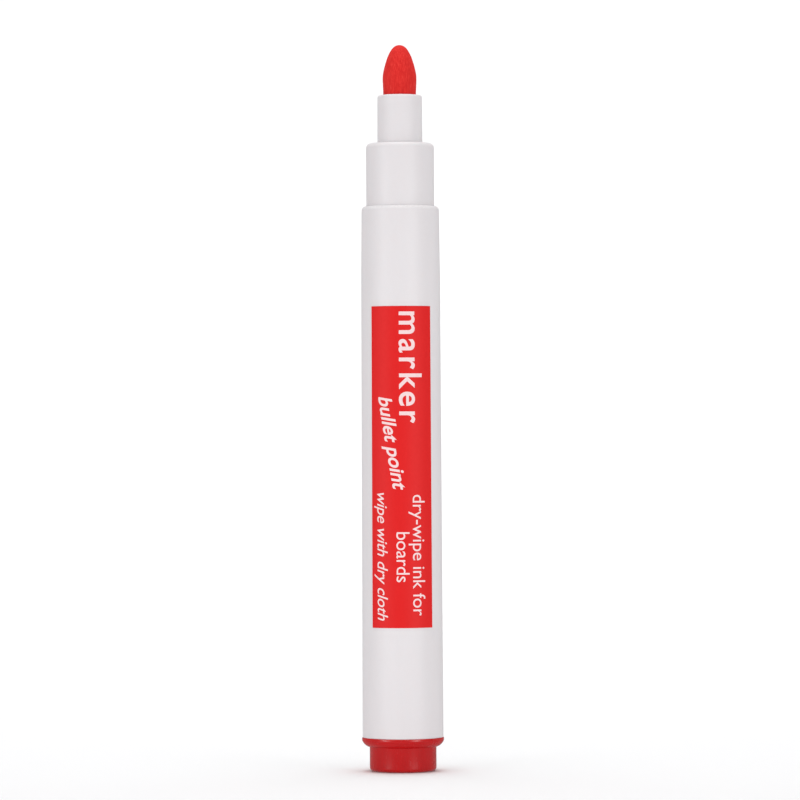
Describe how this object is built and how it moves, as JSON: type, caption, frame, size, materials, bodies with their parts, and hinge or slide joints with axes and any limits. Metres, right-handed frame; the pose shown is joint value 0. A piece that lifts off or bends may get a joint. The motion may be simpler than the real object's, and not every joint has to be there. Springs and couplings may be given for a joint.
{
  "type": "whiteboard marker",
  "caption": "Bullet-tip whiteboard marker without its cap: tapered barrel, stepped nib holder, felt nib, wrapped ink reservoir and an end plug for posting the cap.",
  "frame": {"origin": "middle of the end plug's flat base, on which the marker stands", "axes": "+Z along the marker's axis towards the nib; -Y faces the viewer of the printed panel; +X to that viewer's right"},
  "size_m": [0.0142, 0.0142, 0.1268],
  "materials": {
    "white_plastic": "satin moulded polypropylene",
    "red_plastic": "satin moulded polypropylene",
    "red_print": "satin printed film",
    "red_felt": "ink-soaked acrylic fibre, matt",
    "inked_fibre": "ink-soaked polyester fibre, matt",
    "clear_film": "thin milky film"
  },
  "bodies": {
    "plug": {"end_plug": "red_plastic", "reservoir_core": "inked_fibre", "reservoir_film": "clear_film"},
    "barrel": {"barrel": "white_plastic", "printed_panel": "red_print", "nib_holder": "white_plastic"},
    "nib": {"nib": "red_felt"}
  },
  "joints": [
    {"name": "barrel_pull", "type": "slide", "parent": "plug", "child": "barrel", "axis": [0, 0, 1], "range_m": [0, 0.1]},
    {"name": "nib_pull", "type": "slide", "parent": "barrel", "child": "nib", "axis": [0, 0, 1], "range_m": [0, 0.035]}
  ]
}
